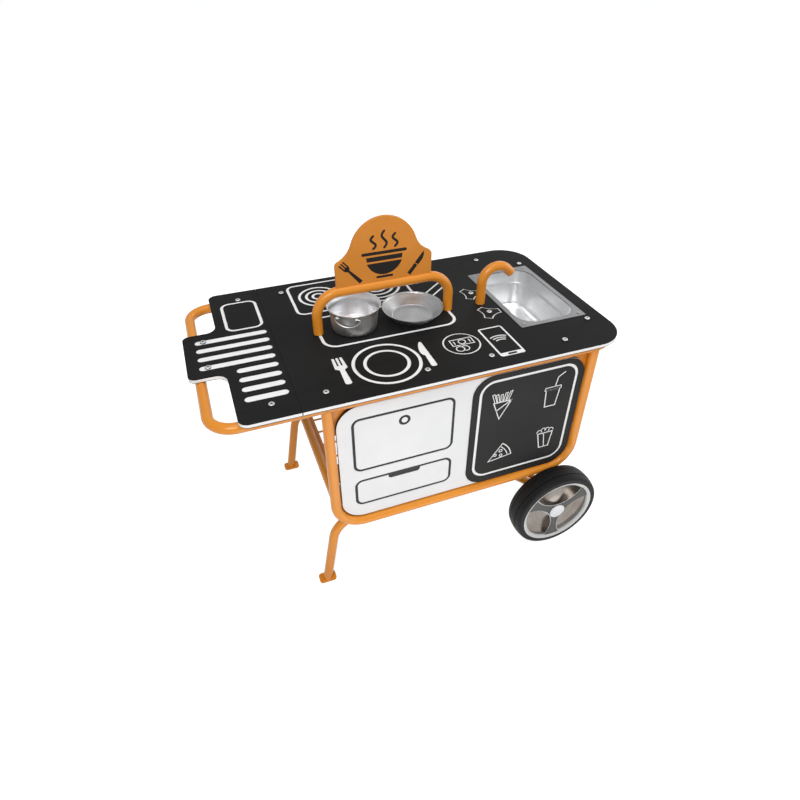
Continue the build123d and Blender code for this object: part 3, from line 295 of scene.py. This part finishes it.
def orange_board():
    """Orange sheet board with a fine moulded grain."""
    look = Shader("orange_board", specular=0.3)
    look.soften(0.6 * MM)
    look.color(look.mottle(look.noise(scale=12.0, detail=4.0), ORANGE_BOARD))
    look.rough(look.spread(look.noise(scale=90.0, detail=3.0), 0.45, 0.58))
    look.bump(look.noise(scale=1500.0), distance=0.15 * MM, strength=0.4)
    return look.material


def skin(name, shades, specular):
    """Sheet board's skin with a fine leathery grain and faint rub marks."""
    look = Shader(name, specular=specular)
    rub = look.noise(scale=1.0, detail=5.0, vector=look.stretch((14, 90, 14)))
    look.color(look.blend(look.wear(rub, look.noise(scale=5.0, detail=3.0), reach=0.25), *shades))
    look.rough(look.spread(rub, 0.5, 0.64))
    look.bump(look.noise(scale=1300.0, detail=3.0), distance=0.2 * MM, strength=0.45)
    return look.material


def routed(look):
    """Routed edges of a board's core, with fine cutter lines."""
    look.soften(0.6 * MM)
    lines = look.noise(scale=1.0, detail=2.0, vector=look.stretch((25, 25, 2200)))
    look.rough(look.spread(lines, 0.48, 0.64))
    look.bump(lines, distance=0.12 * MM, strength=0.35)


def core(name, shades):
    """Board core: routed edges and a soft mottle."""
    look = Shader(name, specular=0.35)
    routed(look)
    look.color(look.mottle(look.noise(scale=30.0, detail=4.0), shades))
    look.bump(look.noise(scale=900.0), distance=0.12 * MM, strength=0.3)
    return look.material


def board_core():
    """White core of the worktop boards, black on the underside, and painted black along the joint between
    the boards as painted shade.
    """
    look = Shader("worktop_core", specular=0.35)
    routed(look)
    parts = look.split(look.place)
    white = look.mottle(look.noise(scale=30.0, detail=4.0), WHITE_BOARD)
    under = look.within(look.math("SUBTRACT", parts["Z"], BOARD_UNDER), UNDER_SKIN)
    joint_distance = look.math("ABSOLUTE", look.math("SUBTRACT", parts["X"], BOARD_JOINT))
    # Black painted along the joint between the boards: painted shade in the gap
    joint_shade = look.within(joint_distance, JOINT_SHADE_HALF_WIDTH)
    look.color(look.blend(look.math("MAXIMUM", under, joint_shade), white, UNDERSIDE_BLACK_AND_JOINT_SHADE))
    return look.material


def spun_steel(name, centre, inside, outside):
    """Spun steel: fine turning marks round the vessel's axis, painted lighter or darker inside than outside
    as painted light and shade.
    """
    look = Shader(name, metallic=1.0)
    look.soften(0.8 * MM)
    _, parts = look.reach(centre, "XY")
    marks = look.turned(centre, "XY", pitch=1500, sweep=1.2)
    normal = look.split(look.node("ShaderNodeTexCoord").outputs["Normal"])
    outer = look.span(look.dot(parts, normal, "XY"), 0.0, 10 * MM)
    wear = look.wear(marks, look.noise(scale=26.0, detail=3.0))
    # Inside and outside shades of the same steel: painted light and shade
    look.color(look.blend(outer, look.blend(wear, *inside), look.blend(wear, *outside)))
    look.rough(look.math("ADD", look.spread(marks, 0.26, 0.4), look.math("MULTIPLY", outer, 0.14)))
    look.bump(marks, distance=0.06 * MM, strength=0.5)
    tangent = look.node("ShaderNodeTangent", direction_type="RADIAL", axis="Z")
    look.feed(look.bsdf.inputs["Tangent"], tangent.outputs[0])
    look.bsdf.inputs["Anisotropic"].default_value = 0.6
    return look.material


def pressed_steel():
    """Pressed steel sheet: dull brushed flange painted dark as painted shade, drawn bowl painted brighter
    and its floor brightest as painted light.
    """
    look = Shader("sink_steel")
    look.soften(2.2 * MM)
    rub = look.noise(scale=1.0, detail=1.0, vector=look.stretch((1400, 40, 1400)))
    wear = look.wear(rub, look.noise(scale=18.0, detail=3.0))
    inside = look.below(SINK_TOP, SINK_EDGE_DEPTH)
    deep = look.below(SINK_TOP, SINK_FLOOR_DEPTH)
    # Flange painted dark as painted shade; walls painted lighter and the floor lightest as painted light
    flange, walls, lit_floor = (look.blend(wear, *shades) for shades in (SINK_FLANGE_PAINTED_SHADE, SINK_WALLS_PAINTED_LIGHT, SINK_FLOOR_PAINTED_LIGHT))
    look.color(look.blend(inside, flange, look.blend(deep, walls, lit_floor)))
    look.feed(look.bsdf.inputs["Metallic"], look.span(inside, 0, 1, to_low=1.0, to_high=0.8))
    look.rough(look.math("SUBTRACT", look.spread(rub, 0.42, 0.5), look.math("MULTIPLY", inside, 0.14)))
    look.bump(rub, distance=0.02 * MM, strength=0.3)
    return look.material


def small_steel(name, shades):
    """Stainless wire, screws and nuts with faint tool marks."""
    look = Shader(name, metallic=1.0)
    look.soften(0.4 * MM)
    marks = look.noise(scale=700.0, detail=3.0)
    look.color(look.blend(marks, *shades))
    look.rough(look.spread(marks, 0.3, 0.46))
    look.bump(look.noise(scale=1800.0), distance=0.06 * MM, strength=0.4)
    return look.material


def socket_screw():
    """Stainless screw head, its socket painted dark as painted shade."""
    look = Shader("stainless_heads", metallic=0.7)
    look.soften(0.4 * MM)
    marks = look.noise(scale=700.0, detail=3.0)
    # Head painted dark below the socket depth: painted shade in the socket
    look.color(look.blend(look.below(SCREW_TOP, SOCKET_DEPTH), look.blend(marks, *HEAD_STEEL), SOCKET_PAINTED_SHADE))
    look.rough(look.spread(marks, 0.34, 0.5))
    look.bump(look.noise(scale=1800.0), distance=0.06 * MM, strength=0.4)
    return look.material


def tyre_rubber():
    """Rubber: fine grain, paler dust towards the tread and two narrow grooves round the tread, painted near
    black as painted shade.
    """
    look = Shader("tyre_rubber", specular=0.2)
    look.soften(1.0 * MM)
    radius, _ = look.reach(AXLE, "XZ")
    grain = look.noise(scale=500.0, detail=4.0)
    tread = look.span(radius, TYRE_SIDE_RADIUS, AXLE.z)
    dust = look.math("MULTIPLY", tread, look.noise(scale=28.0, detail=4.0))
    rubber = look.blend(look.span(dust, 0.2, 0.9), *TYRE_BLACK)
    aside = look.math("ABSOLUTE", look.math("SUBTRACT", look.off_middle(), abs(AXLE.y)))
    off_groove = look.math("ABSOLUTE", look.math("SUBTRACT", aside, GROOVE_ASIDE))
    groove = look.within(off_groove, GROOVE_HALF_WIDTH)
    # The grooves painted near black: painted shade in the recess
    look.color(look.blend(groove, rubber, GROOVE_PAINTED_SHADE))
    look.rough(look.math("MAXIMUM", look.spread(grain, 0.46, 0.62), look.math("MULTIPLY", groove, 0.95)))
    look.bump(grain, distance=0.2 * MM, strength=0.35)
    look.bump(look.math("SUBTRACT", 1.0, groove), distance=0.8 * MM, strength=0.8)
    return look.material


def rim_finish():
    """Rim: pale satin ring and pocket edges, bright turned dishes between the spokes, their brownish shades
    a painted reflection.
    """
    look = Shader("rim_metallised")
    radius, _ = look.reach(AXLE, "XZ")
    front = look.span(look.off_middle(), *(RIM_FACE - depth for depth in POCKET_EDGE_DEPTH))
    pale = look.math("MAXIMUM", look.span(radius, *RIM_RING_RADIUS), front)
    cloud = look.noise(scale=14.0, detail=1.0)
    marks = look.turned(AXLE, "XZ", pitch=700, sweep=0.8)
    # The dishes' brownish shades, mixed by turning marks and a cloud, paint a reflection
    dish = look.blend(look.wear(marks, cloud), *RIM_DISH_PAINTED_REFLECTION)
    look.color(look.blend(pale, dish, look.blend(cloud, *RIM_PALE)))
    look.feed(look.bsdf.inputs["Metallic"], look.span(pale, 0, 1, to_low=1.0, to_high=0.15))
    look.rough(look.math("ADD", look.span(pale, 0, 1, 0.18, 0.32), look.math("MULTIPLY", marks, 0.08)))
    look.bump(marks, distance=0.03 * MM, strength=0.25)
    return look.material


def moulded(name, shades, roughness, grain=1400.0):
    """Moulded plastic with a light spark-eroded grain."""
    look = Shader(name)
    look.soften(0.5 * MM)
    cloud = look.noise(scale=60.0, detail=3.0)
    look.color(look.mottle(cloud, shades))
    look.rough(look.spread(cloud, roughness - 0.06, roughness + 0.06))
    look.bump(look.noise(scale=grain), distance=0.12 * MM, strength=0.4)
    return look.material


def ink(name, shades):
    """Matt ink or bared core of a thin drawn line."""
    look = Shader(name, specular=0.25)
    cloud = look.noise(scale=220.0, detail=4.0)
    look.color(look.mottle(cloud, shades))
    look.rough(look.spread(cloud, 0.52, 0.68))
    look.bump(look.noise(scale=1500.0), distance=0.08 * MM, strength=0.3)
    return look.material


# Finish of each CAD node; what isn't named here is a steel fixing or coated orange
orange = orange_coat()
white_line = ink("white_line", WHITE_INK)
black_line = ink("black_line", BLACK_INK)
black_skin = skin("black_skin", BLACK_SHEET, specular=0.06)
worktop_core = board_core()
fixings = small_steel("stainless_fixings", FIXING_STEEL)
wire = small_steel("stainless_wire", WIRE_STEEL)
bush = moulded("bush_nylon", NYLON, roughness=0.5)
rubber_finish = tyre_rubber()
rim = rim_finish()
spokes = moulded("spoke_plastic", SPOKE_PLASTIC, roughness=0.42)
hub_cap = moulded("hub_cap_gloss", CAP_PLASTIC, roughness=0.2, grain=600.0)

finish = {
    "worktop_left": worktop_core,
    "worktop_main": worktop_core,
    "worktop_screws": socket_screw(),
    "menu_board": core("white_core", WHITE_BOARD),
    "worktop_left_skin": black_skin,
    "worktop_main_skin": black_skin,
    "menu_skin": skin("menu_black", MENU_SHEET, specular=0.13),
    "front_panel": core("dark_core", DARK_BOARD),
    "front_panel_skin": skin("white_skin", WHITE_SHEET, specular=0.3),
    "sign_board": orange_board(),
    "sink_pan": pressed_steel(),
    "pot": spun_steel("pot_steel", POT, POT_INSIDE_PAINTED_LIGHT, POT_OUTSIDE_PAINTED_SHADE),
    "pot_lugs": fixings,
    "front_pot_handle": wire,
    "rear_pot_handle": wire,
    "pan": spun_steel("pan_steel", PAN, PAN_INSIDE_PAINTED_SHADE, POT_OUTSIDE_PAINTED_SHADE),
    "axle_plugs": bush,
    "arch_plugs": bush,
}
for side in ("front", "rear"):
    finish[f"{side}_tyre"] = rubber_finish
    finish[f"{side}_rim"] = rim
    finish[f"{side}_spokes"] = spokes
    finish[f"{side}_hub_cap"] = hub_cap
    finish[f"{side}_bushes"] = bush
steel_ends = ("_screws", "_nuts", "_washers", "_rod", "_bolts", "_studs")
for name, node in nodes.items():
    node.data.materials.clear()
    node.data.materials.append(finish.get(name, fixings if name.endswith(steel_ends) else orange))


def arc(centre, radius, start, end, steps=24):
    """Points along a circular arc, angles in degrees."""
    turns = [radians(start + (end - start) * k / steps) for k in range(steps + 1)]
    return [(centre[0] + radius * cos(turn), centre[1] + radius * sin(turn)) for turn in turns]


def circle(centre, radius):
    """Points of a closed circle."""
    return arc(centre, radius, start=0, end=360, steps=36)[:-1]


def placed(points, place, angle=0.0):
    """Points of a figure that starts at a place and runs along an angle in degrees."""
    along, aside = cos(radians(angle)), sin(radians(angle))
    return [(place[0] + u * along - v * aside, place[1] + u * aside + v * along) for u, v in points]


LEAST_MITRE = 0.5


def line_edges(points, width, closed):
    """Left and right edges of a line of the given width, with mitred corners."""
    count = len(points)
    left, right = [], []
    for k, point in enumerate(points):
        here = Vector(point)
        steps = []
        if closed or k > 0:
            steps.append((here - Vector(points[k - 1])).normalized())
        if closed or k < count - 1:
            steps.append((Vector(points[(k + 1) % count]) - here).normalized())
        along = sum(steps, Vector((0, 0))).normalized()
        across = Vector((-along.y, along.x))
        mitre = max(LEAST_MITRE, across.dot(Vector((-steps[0].y, steps[0].x))))
        left.append(here + across * width / 2 / mitre)
        right.append(here - across * width / 2 / mitre)
    return left, right


class Drawing:
    """Thin raised drawing on a flat face, made of lines and filled shapes in mm."""

    LIFT = 0.15
    SEAT = -0.02

    def __init__(self, to_space):
        self.to_space = to_space
        self.mesh = bmesh.new()

    def level(self, outline, height):
        return [self.mesh.verts.new(self.to_space(x, y, height)) for x, y in outline]

    def walls(self, low, high):
        count = len(low)
        for k in range(count):
            after = (k + 1) % count
            self.mesh.faces.new((low[k], low[after], high[after], high[k]))

    def fill(self, outline):
        """Filled shape."""
        low, high = self.level(outline, self.SEAT), self.level(outline, self.LIFT)
        self.mesh.faces.new(high)
        self.mesh.faces.new(low[::-1])
        self.walls(low, high)

    def line(self, points, width):
        """Open line with round ends."""
        left, right = line_edges(points, width, False)
        ends = []
        for point, corner in ((points[-1], left[-1]), (points[0], right[0])):
            start = -degrees(Vector((1, 0)).angle_signed(corner - Vector(point), 0))
            ends.append(arc(point, width / 2, start, start - 180, steps=8)[1:-1])
        self.fill(left + ends[0] + right[::-1] + ends[1])

    def loop(self, points, width):
        """Closed line."""
        edges = line_edges(points, width, True)
        low = [self.level(edge, self.SEAT) for edge in edges]
        high = [self.level(edge, self.LIFT) for edge in edges]
        count = len(points)
        for (left, right), flip in ((high, 1), (low, -1)):
            for k in range(count):
                after = (k + 1) % count
                self.mesh.faces.new((right[k], right[after], left[after], left[k])[::flip])
        for edge in range(2):
            self.walls(low[edge], high[edge])

    def done(self, name, material):
        """Turn the drawing into a piece that rides on the cart."""
        bmesh.ops.recalc_face_normals(self.mesh, faces=self.mesh.faces)
        data = bpy.data.meshes.new(name)
        self.mesh.to_mesh(data)
        self.mesh.free()
        data.materials.append(material)
        piece = bpy.data.objects.new(name, data)
        scene.collection.objects.link(piece)
        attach(piece, "cart")


def on_worktop(x, y, level):
    """Point of a worktop figure."""
    return CORNER + Vector((x, y, level)) * MM


def on_menu(x, z, level):
    """Point on the menu board's face."""
    return Vector((CORNER.x + x * MM, MENU_FACE - level * MM, CORNER.z + z * MM))


def on_sign(x, z, level):
    """Point on the sign's front face."""
    return Vector((CORNER.x + x * MM, SIGN_FACE - level * MM, CORNER.z + z * MM))


# Payment figures on the worktop: a banknote with coins in the ring, and radio waves on the phone
NOTE_LINE = 2.2
NOTE_MIDDLE = (470, 111)
NOTE_RING_RADIUS = 7.5
FRONT_COIN = (456, 87)
BACK_COIN = (467, 87)
COIN_RADIUS = 8.5
WAVE_LINE = 2.9
WAVE_CENTRE = (549, 70)
money = Drawing(on_worktop)
money.loop(placed([(-24, -11), (24, -11), (24, 11), (-24, 11)], NOTE_MIDDLE), NOTE_LINE)
money.loop(circle(NOTE_MIDDLE, NOTE_RING_RADIUS), NOTE_LINE)
for end in (-17, 17):
    money.line(placed([(end, -5), (end, 5)], NOTE_MIDDLE), NOTE_LINE)
money.loop(circle(FRONT_COIN, COIN_RADIUS), NOTE_LINE)
money.line(arc(BACK_COIN, COIN_RADIUS, start=-126, end=126), NOTE_LINE)
money.done("money_figure", white_line)

waves = Drawing(on_worktop)
for radius in (36, 28.5, 21):
    waves.line(arc(WAVE_CENTRE, radius, start=61, end=119, steps=14), WAVE_LINE)
waves.done("phone_waves", white_line)

# Food figures on the menu board
MENU_LINE = 2.5
FINE_LINE = 2.0
CHIP_LINE = 1.75
CRUST_RADIUS = 66
RIND_RADIUS = 57
PUFF_RADIUS = 6


def chips(drawing, place):
    """Folded paper cone of chips; the place is on the cone's rim."""
    drawing.loop(placed([(-18, 0), (24, 0), (-1, -46)], place), MENU_LINE)
    drawing.line(placed([(24, 0), (-10, -22)], place), MENU_LINE)
    for foot, tip in ((-14, -20), (-7, -11), (0, 0), (7, 11), (14, 22)):
        top = 19 + abs(tip) * 0.2
        chip = [(foot - 2, 2), (tip - 3, top), (tip + 2, top + 1), (foot + 3, 2)]
        drawing.line(placed(chip, place), CHIP_LINE)


def cup(drawing, place):
    """Cup with a lid and a bent straw; the place is in the middle of the cup's rim."""
    drawing.loop(placed([(-17, 0), (17, 0), (12, -45), (-14, -45)], place), MENU_LINE)
    drawing.loop(placed([(-20, 0), (20, 0), (19, 7), (-19, 7)], place), FINE_LINE)
    drawing.line(placed([(4, 7), (8, 31), (23, 41)], place), MENU_LINE)


def pizza(drawing, place):
    """Slice of pizza; the place is the centre of its crust's arc."""
    crust, rind = (arc(place, radius, start=54, end=13, steps=14) for radius in (CRUST_RADIUS, RIND_RADIUS))
    drawing.loop([*placed([(7, 7)], place), *crust], MENU_LINE)
    drawing.line(rind, FINE_LINE)
    for spot, radius in (((23, 22), 3.2), ((36, 32), 3.8), ((38, 18), 3.4)):
        drawing.loop(placed(circle(spot, radius), place), FINE_LINE)


def popcorn(drawing, place):
    """Tub of popcorn; the place is in the middle of the tub's rim."""
    drawing.loop(placed([(-19, 0), (19, 0), (14, -43), (-10, -43)], place), MENU_LINE)
    drawing.line(placed([(-4, 0), (3, -43)], place), FINE_LINE)
    for puff in ((-16, 5), (-6, 9), (4, 8), (14, 5)):
        drawing.line(placed(arc(puff, PUFF_RADIUS, start=-10, end=190, steps=14), place), FINE_LINE)


menu = Drawing(on_menu)
chips(menu, place=(526, -107))
cup(menu, place=(651, -107))
pizza(menu, place=(505, -283))
popcorn(menu, place=(653, -231))
menu.done("menu_figures", white_line)

# Sign: a steaming bowl between a fork and a knife
BOWL_RIM_MIDDLE = (350.0, 160.0)
BOWL_RIM_LINE = 6.5
BOWL_MIDDLE = (350.0, 152.5)
BOWL_RADIUS = 40.0
SIGN_LINE = 5.0
STEAM_START = 10.0
STEAM_SWING = 5.0
STEAM_STEPS = 18
FORK = {"place": (299, 103), "angle": 131.7}
KNIFE = {"place": (403, 104), "angle": 50.7}
TINE_LINE = 3.2


def steam(shift, height):
    """One curl of steam over the bowl's rim."""
    shares = [k / STEAM_STEPS for k in range(STEAM_STEPS + 1)]
    curl = [(shift + STEAM_SWING * sin(2 * pi * share), STEAM_START + height * share) for share in shares]
    return placed(curl, BOWL_RIM_MIDDLE)


sign = Drawing(on_sign)
sign.line(placed([(-45, 0), (45, 0)], BOWL_RIM_MIDDLE), BOWL_RIM_LINE)
sign.fill(placed([(-39, 0), (39, 0), (37.5, -9.5), (-37.5, -9.5)], BOWL_MIDDLE))
sign.fill(arc(BOWL_MIDDLE, BOWL_RADIUS, start=200, end=340, steps=20))
sign.line(placed([(-16, -52), (16, -52)], BOWL_RIM_MIDDLE), SIGN_LINE)
for shift, height in ((-23, 26), (0, 34), (23, 26)):
    sign.line(steam(shift, height), SIGN_LINE)
sign.fill(placed([(0, -4.4), (30, -3), (36, -2.2), (36, 2.2), (30, 3), (0, 4.4)], **FORK))
sign.fill(placed([(35, -2.2), (38, -3), (42, -6), (47, -7), (47, 7), (42, 6), (38, 3), (35, 2.2)], **FORK))
for tine in (-5.4, 0, 5.4):
    sign.line(placed([(46, tine), (60, tine)], **FORK), TINE_LINE)
sign.fill(placed([(0, -4.4), (25, -4), (25, 4), (0, 4.4)], **KNIFE))
sign.fill(placed([(26.5, -5), (42, -4.8), (50, -2), (57, 4.4), (26.5, 4.4)], **KNIFE))
sign.done("sign_figures", black_line)

# Camera at the photograph's place
EYE = Vector((-0.3761, -1.0410, 1.1943))
FORWARD = Vector((0.2772, 0.7359, -0.6177)).normalized()
RIGHT = Vector((0.9359, -0.3524, 0.0001)).normalized()
UP = RIGHT.cross(FORWARD).normalized()
LENS = 26.09
SENSOR_WIDTH = 36.0
FAR_CLIP = 200.0
camera_data = bpy.data.cameras.new("camera")
camera_data.lens = LENS
camera_data.sensor_width = SENSOR_WIDTH
camera_data.sensor_fit = "HORIZONTAL"
camera_data.clip_end = FAR_CLIP
camera = bpy.data.objects.new("camera", camera_data)
camera.matrix_world = Matrix.Translation(EYE) @ Matrix((RIGHT, UP, -FORWARD)).transposed().to_4x4()
scene.collection.objects.link(camera)
scene.camera = camera

# Floor: pale and plain, seen white by the camera, still taking the object's shadow
FLOOR_HALF = 60.0
FLOOR_ROUGHNESS = 0.9
FLOOR_GLOW = 0.76
FLOOR_MIRRORED = 0.9
floor_mesh = bpy.data.meshes.new("floor")
corners = [(x * FLOOR_HALF, y * FLOOR_HALF, 0) for x, y in ((-1, -1), (1, -1), (1, 1), (-1, 1))]
floor_mesh.from_pydata(corners, [], [(0, 1, 2, 3)])
floor = bpy.data.objects.new("floor", floor_mesh)
scene.collection.objects.link(floor)
floor_look = Shader("pale_floor", specular=0.0)
floor_look.color((*FLOOR_PALE, 1.0))
floor_look.rough(FLOOR_ROUGHNESS)
floor_look.bsdf.inputs["Emission Color"].default_value = (*WHITE, 1.0)
floor_glow = floor_look.math("MULTIPLY", floor_look.seen(FLOOR_MIRRORED), FLOOR_GLOW)
floor_look.feed(floor_look.bsdf.inputs["Emission Strength"], floor_glow)
floor_mesh.materials.append(floor_look.material)

# Soft studio light: a pale room, dimmer at the left, white to the camera, and large lamps
ROOM_MIRRORED = 0.35
DIM_FROM, DIM_TO = -0.4, 0.9
DIM_SHARE = 0.38
world = bpy.data.worlds.new("studio")
scene.world = world
world.use_nodes = True
room = Nodes(world.node_tree)
direction = room.split(room.node("ShaderNodeTexCoord").outputs["Generated"])
height_shade = room.blend(direction["Z"], ROOM_LEVEL, ROOM_TOP)
side_shade = room.span(direction["X"], DIM_FROM, DIM_TO, DIM_SHARE, 1.0)
shaded = room.blend(side_shade, BLACK, height_shade)
backdrop = room.blend(room.seen(ROOM_MIRRORED), shaded, WHITE)
room.feed(world.node_tree.nodes["Background"].inputs["Color"], backdrop)


def lamp(name, place, target, size, power):
    """Large soft lamp that faces a target point."""
    data = bpy.data.lights.new(name, "AREA")
    data.shape = "SQUARE"
    data.size = size
    data.energy = power
    made = bpy.data.objects.new(name, data)
    made.location = place
    made.rotation_euler = (Vector(target) - Vector(place)).to_track_quat("-Z", "Y").to_euler()
    made.visible_camera = False
    scene.collection.objects.link(made)


lamp("key", place=(-1.8, -3.0, 3.5), target=(0.0, 0.0, 0.4), size=2.2, power=106.0)
lamp("top", place=(0.1, -0.5, 3.3), target=(0.1, 0.0, 0.5), size=2.2, power=24.0)
lamp("fill", place=(3.3, -0.4, 1.6), target=(0.0, 0.0, 0.35), size=1.8, power=20.0)
lamp("back", place=(2.6, 2.8, 2.4), target=(0.2, 0.0, 0.5), size=1.2, power=9.0)
lamp("low", place=(0.0, -0.95, 0.03), target=(0.0, -0.95, 1.0), size=1.0, power=3.5)

scene.view_settings.view_transform = "Standard"
